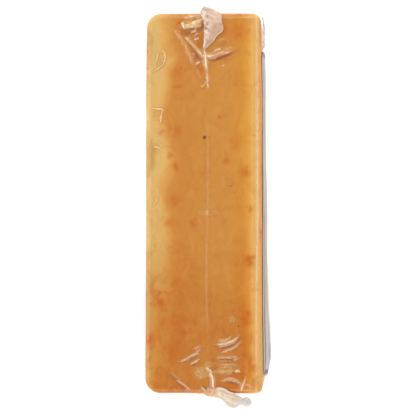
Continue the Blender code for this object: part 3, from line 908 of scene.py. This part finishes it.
for name, values in zip(("glow", "gap", "milk", "dark", "haze_and_sheen"), (*drape[1:], haze_and_sheen)):
    store(film, name, values)
print("highest fold, mm:", round(rise.max() / MM, 2))

# %% Close the film's underside with one face
bpy.ops.object.mode_set(mode="EDIT")
select_faces(film, lambda face: max(vert.co.z for vert in face.verts) < UNDERSIDE)
bpy.ops.mesh.delete(type="FACE")
bpy.ops.mesh.select_mode(type="EDGE")
bpy.ops.mesh.select_non_manifold()
bpy.ops.mesh.edge_face_add()
bpy.ops.object.mode_set(mode="OBJECT")
print("film faces:", len(film.data.polygons))

# %% [markdown]
# Clear film shows what lies behind it, so its shader mixes a see-through part with a glossy
# one. Flat film is almost all see-through. Folded film lies many layers deep, which makes
# it milky, and beside a fold the crease is painted deep orange as painted shade. The gloss
# is stronger than one layer's, since the see-through part weakens it again.

# %% Finish the film
FILM_INDEX = 1.9
clear_film, place = new_material("clear_film")
veil = clouds(place, 420.0, 3.0, stretch=(1.0, 0.6, 1.0)).step(0.3, 0.7)
uneven = clouds(place, 330.0, 3.0, shift=(6, 1, 4)).step(0.25, 0.75)
gap = stored(place, "gap")
core = 1.0 - (abs(gap) + uneven * 0.4).step(0.1, 1.25)
crease = 1.0 - abs(gap - 2.0).step(0.3, 1.7)
speckle = clouds(place, 900.0, 2.0).step(0.4, 0.6)
hazy_and_sheen = stored(place, "haze_and_sheen") * (0.8 + 0.4 * speckle)
milky = stored(place, "milk") * core * (0.45 + 0.7 * uneven) + stored(place, "glow") * 0.4
# The dark value paints the crease beside a fold deep orange: painted shade.
creased = stored(place, "dark") * crease * (0.7 + 0.3 * uneven)
tints = ((0.0, (236, 168, 82)), (0.25, (248, 182, 96)), (0.55, (255, 204, 128)), (0.95, (255, 230, 182)))
tint = ramp(milky, tints)
# This value paints milky bubbles, and one pale patch that is a painted reflection.
hazed_and_sheened = mixed(hazy_and_sheen * 2.2, tint, (248, 200, 124))
shade = mixed(creased * 0.95, hazed_and_sheened, (150, 50, 0))
fine = clouds(place, 700.0, 4.0, stretch=(1.0, 0.5, 1.0), swirl=0.5)
broad = clouds(place, 120.0, 3.0)
relief = stored(place, "milk") * core * 1.6 - creased * 0.8 + fine * 0.12 + broad * 0.4
film_gloss = principled(place, {
    "Base Color": shade,
    "Roughness": 0.16 + 0.12 * veil,
    "IOR": FILM_INDEX,
    "Specular IOR Level": 1.0,
    "Normal": bump(place, 0.45, 0.4 * MM, relief),
})
cover = 0.12 + milky * (0.7 + 0.2 * veil) + hazy_and_sheen * 0.9 + creased * 0.56
film.data.materials.append(show(clear_film, partly(place, cover, film_gloss)))
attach(film, "root")
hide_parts("sealed_bag")
print("film finished")

# %% [markdown]
# The ear, the tail and a small lip are film alone, many layers thick. Each starts as a
# flat circle. Its
# face is extruded station by station, and each new ring is set to that station's width and
# thickness. A curve with a bevel would be quicker, but its section can't flatten and turn.

# %% Extrude a body ring by ring
def flat_ring(middle, across, thick, sides):
    """A flattened oval of points."""
    turns = 2 * np.pi * np.arange(sides) / sides
    return middle + np.outer(np.cos(turns), across) + np.outer(np.sin(turns), thick)


def extrude_rings(name, rings):
    """A closed body: a circle whose face is extruded through rings of points."""
    body = add(bpy.ops.mesh.primitive_circle_add, name, vertices=len(rings[0]), fill_type="NGON")
    bpy.ops.object.mode_set(mode="EDIT")
    bpy.ops.mesh.select_mode(type="FACE")
    for index, ring in enumerate(rings):
        if index:
            bpy.ops.mesh.extrude_region_move()
        bm = bmesh.from_edit_mesh(body.data)
        face = next(face for face in bm.faces if face.select)
        for loop, point in zip(face.loops, ring):
            loop.vert.co = point
        bmesh.update_edit_mesh(body.data)
        if index == 0:
            bpy.ops.mesh.duplicate_move()
    bpy.ops.mesh.select_all(action="SELECT")
    bpy.ops.mesh.remove_doubles(threshold=0.00001)
    bpy.ops.mesh.normals_make_consistent(inside=False)
    bpy.ops.object.mode_set(mode="OBJECT")
    bpy.ops.object.shade_smooth()
    return body


def refine(piece, levels):
    """Rounds a piece off with a Subdivision Surface modifier, and applies it."""
    bpy.ops.object.select_all(action="DESELECT")
    piece.select_set(True)
    bpy.context.view_layer.objects.active = piece
    rounding = piece.modifiers.new("rounding", "SUBSURF")
    rounding.levels = levels
    rounding.render_levels = levels
    bpy.ops.object.modifier_apply(modifier=rounding.name)
    print(piece.name, "faces:", len(piece.data.polygons))


# %% Shape the ear
# From its tip on the seam side, over the upper end and down that end: a point (x, y, z) of
# its left edge, one of its right edge, and its thickness there, in millimetres.
EAR_STATIONS = (
    ((-0.5, 76.0, 76.5), (0.5, 76.4, 76.5), 0.7),
    ((-0.3, 78.0, 76.7), (2.6, 78.8, 76.7), 0.9),
    ((0.0, 80.0, 76.8), (4.7, 80.5, 76.8), 1.0),
    ((0.1, 82.2, 76.9), (6.2, 82.7, 76.9), 1.0),
    ((0.2, 84.4, 77.0), (7.9, 84.5, 77.0), 1.0),
    ((0.2, 87.0, 77.0), (10.1, 86.6, 77.0), 1.1),
    ((0.1, 89.4, 76.9), (9.5, 89.6, 76.9), 1.2),
    ((-0.4, 92.0, 76.7), (9.0, 92.0, 76.7), 1.2),
    ((-1.5, 94.2, 76.3), (8.9, 94.2, 76.3), 1.1),
    ((-2.0, 95.6, 75.4), (8.4, 95.2, 75.2), 0.9),
    ((0.3, 99.0, 74.2), (7.8, 95.6, 72.8), 0.8),
    ((-1.2, 96.6, 70.4), (7.6, 95.8, 69.6), 1.2),
    ((-0.8, 95.8, 65.0), (6.4, 95.7, 65.0), 1.3),
    ((0.4, 95.3, 60.0), (4.6, 95.3, 60.0), 1.3),
    ((0.9, 95.0, 57.0), (3.5, 95.0, 57.0), 1.0),
)
EAR_SIDES = 20
EAR_LEVELS = 2
EAR_CRUMPLE = 0.2 * MM
EAR_CRUMPLE_SIZE = 2.4 * MM


def directions(middles):
    """The direction of a line of places at each of them."""
    last = len(middles) - 1
    return [middles[min(i + 1, last)] - middles[max(i - 1, 0)] for i in range(last + 1)]


def unit(vector):
    """A vector of length 1 in the same direction."""
    return vector / np.linalg.norm(vector)


def folded_sheet(name, stations, steps, sides):
    """A flattened body between two edge lines, and those lines."""
    lefts = smooth_line([left for left, _, _ in stations], steps) * MM
    rights = smooth_line([right for _, right, _ in stations], steps) * MM
    depths = smooth_line([(depth, 0, 0) for _, _, depth in stations], steps)[:, 0] * MM
    middles = (lefts + rights) / 2
    rings = []
    for middle, right, run, depth in zip(middles, rights, directions(middles), depths):
        lifted = unit(np.cross(right - middle, run)) * depth / 2
        rings.append(flat_ring(middle, right - middle, lifted, sides))
    return extrude_rings(name, rings), lefts, rights


ear, ear_lefts, ear_rights = folded_sheet("film_ear", EAR_STATIONS, 2, EAR_SIDES)
refine(ear, EAR_LEVELS)

# %% Crumple the ear
def crumple(piece, size, height, seed, stretch=(1, 1, 1)):
    """Pushes a film body's points in and out along their normals by noise."""
    points = points_of(piece)
    push = noise_at(points * stretch, size, seed) + 0.5 * noise_at(points * stretch, size / 2, seed + 1)
    put_points(piece, points + points_of(piece, "normal") * (push * height)[:, None])


crumple(ear, EAR_CRUMPLE_SIZE, EAR_CRUMPLE, 11, (1.2, 0.6, 1.0))


def store_edges(piece, lefts, rights):
    """Keeps for each point how far it lies from the left edge line, as a share of the width,
    and how far from the right one, in millimetres."""
    points, normals = points_of(piece), points_of(piece, "normal")
    left_gap, right_gap = beside_line(points, normals, lefts)[0], beside_line(points, normals, rights)[0]
    store(piece, "crossing", left_gap / (left_gap + right_gap))
    store(piece, "edge_gap", right_gap / MM)
    print(piece.name, "box, mm:", np.round(points.min(0) / MM, 1), np.round(points.max(0) / MM, 1))


store_edges(ear, ear_lefts, ear_rights)

# %% Shape the tail
# From inside the loaf's lower edge to the neck before the bead, with the same values.
TAIL_STATIONS = (
    ((4.4, -90.6, 74.6), (-0.4, -94.3, 70.0), 7.0),
    ((5.2, -92.3, 75.8), (1.2, -95.5, 70.8), 5.6),
    ((8.1, -91.9, 76.7), (4.5, -96.3, 71.6), 4.4),
    ((10.2, -92.5, 76.7), (7.5, -97.1, 72.2), 3.8),
    ((12.5, -93.5, 76.4), (9.5, -98.3, 72.6), 3.4),
    ((14.5, -94.4, 75.9), (11.0, -100.0, 72.8), 3.2),
    ((16.2, -95.0, 75.5), (12.7, -101.8, 73.0), 3.2),
    ((17.6, -95.5, 75.2), (14.7, -102.4, 73.1), 3.1),
    ((18.5, -96.3, 74.9), (16.6, -101.8, 73.1), 3.0),
    ((19.3, -97.0, 74.6), (18.0, -100.7, 73.2), 2.9),
    ((20.1, -97.3, 74.4), (19.4, -100.5, 73.3), 2.7),
    ((20.8, -97.5, 74.3), (20.4, -100.2, 73.4), 2.5),
)
TAIL_SIDES = 28
TAIL_CRUMPLE = 0.26 * MM
TAIL_CRUMPLE_SIZE = 2.6 * MM

tail, tail_uppers, tail_lowers = folded_sheet("film_tail", TAIL_STATIONS, 3, TAIL_SIDES)
refine(tail, 2)
crumple(tail, TAIL_CRUMPLE_SIZE, TAIL_CRUMPLE, 21)
store_edges(tail, tail_lowers, tail_uppers)

# %% Shape the bead
BEAD_MIDDLE = (21.5 * MM, -99.1 * MM, 73.4 * MM)
BEAD_RADII = (2.5, 2.4, 2.1)
BEAD_DENT = 0.22 * MM
bead = add(bpy.ops.mesh.primitive_uv_sphere_add, "tail_bead", segments=40, ring_count=24, radius=MM)
put_points(bead, points_of(bead) * BEAD_RADII + BEAD_MIDDLE)
bpy.ops.object.shade_smooth()
crumple(bead, 1.9 * MM, BEAD_DENT, 31)
print("bead points:", len(bead.data.vertices))

# %% Shape the lip
# Slack film stands off the broad side between the loaf's upper end and the label.
LIP_STATIONS = (
    ((28.4, 94.2, 73.0), (28.8, 94.2, 67.0), 0.4),
    ((29.8, 91.5, 73.6), (29.9, 91.5, 65.0), 0.7),
    ((30.2, 87.0, 73.8), (30.3, 87.0, 63.5), 0.9),
    ((30.2, 82.0, 73.4), (30.3, 82.0, 63.0), 0.9),
    ((30.0, 78.5, 72.6), (30.1, 78.5, 63.5), 0.7),
    ((28.8, 76.0, 71.6), (29.0, 76.0, 66.0), 0.4),
)
LIP_SIDES = 16
lip, lip_uppers, lip_lowers = folded_sheet("film_lip", LIP_STATIONS, 3, LIP_SIDES)
refine(lip, 1)
crumple(lip, TAIL_CRUMPLE_SIZE, EAR_CRUMPLE, 51)

# %% [markdown]
# Gathered film is whiter than flat film and keeps its gloss. The ear still lets the orange
# through, the tail less, and the bead, where the film was melted shut, is greyer.

# %% Finish the gathered film
def gathered_film(name, paint, least_cover, cloud_cover):
    """Milky film: a function for its colour, and how much it covers, more so in soft clouds."""
    material, place = new_material(name)
    cloudy = clouds(place, 260.0, 4.0, swirl=0.8).step(0.34, 0.66)
    streaks = clouds(place, 500.0, 3.0, stretch=(1.0, 0.35, 1.0), shift=(4, 4, 4))
    gloss = principled(place, {
        "Base Color": paint(place, cloudy),
        "Roughness": 0.2 + 0.15 * cloudy,
        "IOR": 1.6,
        "Specular IOR Level": 0.6,
        "Normal": bump(place, 0.4, 0.4 * MM, streaks + cloudy),
    })
    return show(material, partly(place, least_cover + cloud_cover * cloudy, gloss))


def ear_paint(place, cloudy):
    """Pale pink film: duller on its lower panel, whiter where it crumples, near white along its
    right edge, where its folded edge carries a painted highlight, and grey at its fold, painted shade.
    """
    along = axes(place)[1]
    panel = mixed(along.step(0.0892, 0.0906), (224, 182, 152), (242, 206, 178))
    rumpled = 1.0 - stored(place, "crossing").step(0.22, 0.58)
    creases = clouds(place, 480.0, 3.0, shift=(2, 6, 1), swirl=1.0).step(0.5, 0.6)
    whitened = mixed(rumpled * cloudy, panel, (255, 240, 222))
    creased = mixed(rumpled * creases * 0.8, whitened, (196, 136, 100))
    # Near its right edge the ear is painted near white: the folded film's edge, and a painted highlight on
    # it.
    rim = (1.0 - stored(place, "edge_gap").step(0.15, 0.6)) * (1.0 - along.step(0.084, 0.09) * 0.7)
    rimmed = mixed(rim, creased, (255, 250, 244))
    # Past the loaf's end the ear is painted grey: painted shade where it turns down over the end.
    return mixed(along.step(0.0950, 0.0966) * 0.6, rimmed, (198, 188, 180))


def tail_paint(place, cloudy):
    """Film stained orange at the root, cream further on, greyer before the bead."""
    # The stops run light and dark across the tail: the film's cream and grey, and painted light and shade
    # on its pleats.
    stops = (
        (0.0, (206, 184, 172)), (0.12, (240, 220, 200)), (0.3, (220, 196, 178)), (0.45, (252, 236, 214)),
        (0.6, (240, 202, 152)), (0.72, (250, 232, 206)), (0.86, (220, 176, 132)), (0.94, (255, 250, 240)),
    )
    pleat = clouds(place, 190.0, 3.0, swirl=0.6)
    pleated = ramp(stored(place, "crossing") + pleat * 0.5 - 0.25, stops)
    across = axes(place)[0]
    stained = mixed((1.0 - across.step(0.003, 0.0105)) * 0.85, pleated, (226, 152, 78))
    greyed = mixed(across.step(0.0145, 0.0185) * 0.6, stained, (206, 198, 194))
    return mixed(cloudy * 0.3, greyed, (252, 242, 230))


def bead_paint(place, cloudy):
    """Greyer film, melted shut."""
    return mixed(cloudy, (216, 214, 216), (244, 242, 240))


def lip_paint(place, cloudy):
    """Grey film with white streaks."""
    return mixed(cloudy, (176, 176, 184), (240, 240, 244))


ear.data.materials.append(gathered_film("ear_film", ear_paint, 0.72, 0.2))
tail.data.materials.append(gathered_film("tail_film", tail_paint, 0.82, 0.12))
lip.data.materials.append(gathered_film("lip_film", lip_paint, 0.6, 0.3))
bead.data.materials.append(gathered_film("bead_film", bead_paint, 0.75, 0.2))
for piece in (ear, tail, lip):
    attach(piece, "root")
    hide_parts("sealed_bag")
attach(bead, "root")
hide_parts("tail_tip")
print("gathered film finished")

# %% [markdown]
# The label is a thin glossy sheet on the broad side. It is stuck down along its edges and
# stands off the loaf between, more so low down. A grid is laid on that side and bent to the
# loaf's form, then given its thickness by a Solidify modifier. Its face carries plain
# fields of colour of its own, and low down it is painted darker, painted shade where it
# bulges furthest off the loaf.

# %% Shape the label
LABEL_LOW_Y = -87.5 * MM
LABEL_HIGH_Y = 77.5 * MM
LABEL_LOW_Z = 12.0 * MM
LABEL_HIGH_Z = 64.0 * MM
LABEL_THICKNESS = 0.25 * MM
LABEL_EDGE_GAP = 0.04 * MM
LABEL_GAP = 0.35 * MM
LABEL_CORNER = 6.0 * MM
# How far the label's middle stands off, along it from the low end to the high one.
LABEL_BULGE = ((0.0, 1.2), (0.06, 2.75), (0.12, 2.75), (0.24, 2.0), (0.42, 1.2), (0.66, 0.85), (1.0, 0.5))
LABEL_CELLS = (200, 60)
LABEL_RIPPLE = 0.22 * MM


def label_bulge(share):
    """How far the label's middle stands off the loaf at each share of its length."""
    bulge = np.full(len(share), LABEL_BULGE[0][1])
    for (low, low_rise), (high, high_rise) in zip(LABEL_BULGE, LABEL_BULGE[1:]):
        bulge += (high_rise - low_rise) * smooth_step(low, high, share)
    return bulge * MM


def label_places(grid):
    """Moves the points of a flat square, from -0.5 to 0.5 in X and Y, onto the label."""
    half_length = (LABEL_HIGH_Y - LABEL_LOW_Y) / 2
    half_height = (LABEL_HIGH_Z - LABEL_LOW_Z) / 2
    y, z = grid[:, 0] * 2 * half_length, grid[:, 1] * 2 * half_height
    y, z = round_corner(y, z, half_length, half_height, np.full(len(y), LABEL_CORNER))
    arch = 1 - (z / half_height) ** 2
    y = y + (LABEL_HIGH_Y + LABEL_LOW_Y) / 2
    z = z + (LABEL_HIGH_Z + LABEL_LOW_Z) / 2
    wall = loaf_form(np.column_stack((np.full(len(y), HALF_WIDTH), y, z)))[:, 0]
    flat = np.column_stack((np.zeros(len(y)), y * 0.25, z))
    ripple = LABEL_RIPPLE * noise_at(flat, 5.0 * MM, 41) * np.clip(arch * 3, 0, 1)
    stand_off = LABEL_EDGE_GAP + (LABEL_GAP + label_bulge(grid[:, 0] + 0.5)) * arch
    return np.column_stack((wall + stand_off + ripple, y, z))


grid = {"x_subdivisions": LABEL_CELLS[0], "y_subdivisions": LABEL_CELLS[1], "size": 1}
label = add(bpy.ops.mesh.primitive_grid_add, "label_sheet", **grid)
put_points(label, label_places(points_of(label)))
wall = label.modifiers.new("thickness", "SOLIDIFY")
wall.thickness = LABEL_THICKNESS
wall.offset = 1.0
bpy.ops.object.modifier_apply(modifier=wall.name)
bpy.ops.object.shade_smooth_by_angle(angle=math.radians(40))
print("label faces:", len(label.data.polygons))

# %% Finish the label
BORDER_WIDTH = 1.0 * MM
STRIPE_FROM = 1.3 * MM
STRIPE_TO = 3.6 * MM
printed, place = new_material("label_print")
_, along, upward = axes(place)
label_middle_y = (LABEL_HIGH_Y + LABEL_LOW_Y) / 2
label_middle_z = (LABEL_HIGH_Z + LABEL_LOW_Z) / 2
in_length = (LABEL_HIGH_Y - LABEL_LOW_Y) / 2 - abs(along - label_middle_y)
in_height = (LABEL_HIGH_Z - LABEL_LOW_Z) / 2 - abs(upward - label_middle_z)
inside = in_length.maths("MINIMUM", in_length, in_height)
SOFTNESS = 0.12 * MM
border = 1.0 - inside.step(BORDER_WIDTH - SOFTNESS, BORDER_WIDTH + SOFTNESS)
stripe = inside.step(STRIPE_FROM - SOFTNESS, STRIPE_FROM + SOFTNESS)
stripe = stripe * (1.0 - inside.step(STRIPE_TO - SOFTNESS, STRIPE_TO + SOFTNESS))
streaks = clouds(place, 160.0, 4.0, stretch=(1.0, 0.12, 1.0), shift=(2, 2, 2)).step(0.42, 0.62)
silver = mixed(streaks, (118, 112, 118), (208, 208, 216))
lavender = clouds(place, 90.0, 3.0, stretch=(1.0, 0.15, 1.2), shift=(9, 3, 1)).step(0.5, 0.6)
tinted = mixed(lavender * 0.45, silver, (140, 118, 142))
# Low down the label and its border are painted darker: painted shade where the label bulges furthest off
# the loaf.
lower = 1.0 - along.step(-20 * MM, 50 * MM)
shaded = mixed(lower * 0.45, tinted, (150, 140, 122))
band = inside.step(9.2 * MM, 9.8 * MM) * (1.0 - inside.step(15.0 * MM, 15.5 * MM))
panel = inside.step(16.5 * MM, 17.0 * MM)
banded = mixed(band * 0.8, shaded, (146, 136, 128))
panelled = mixed(panel, banded, (202, 192, 172))
striped = mixed(stripe, panelled, (104, 52, 62))
edge_colour = mixed(lower, (222, 216, 204), (196, 196, 150))
edged = mixed(border, striped, edge_colour)
label_shader = principled(place, {
    "Base Color": edged,
    "Roughness": 0.34 + 0.14 * streaks,
    "Specular IOR Level": 0.2,
})
label.data.materials.append(show(printed, label_shader))
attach(label, "root")
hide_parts("front_label")
print("label finished")
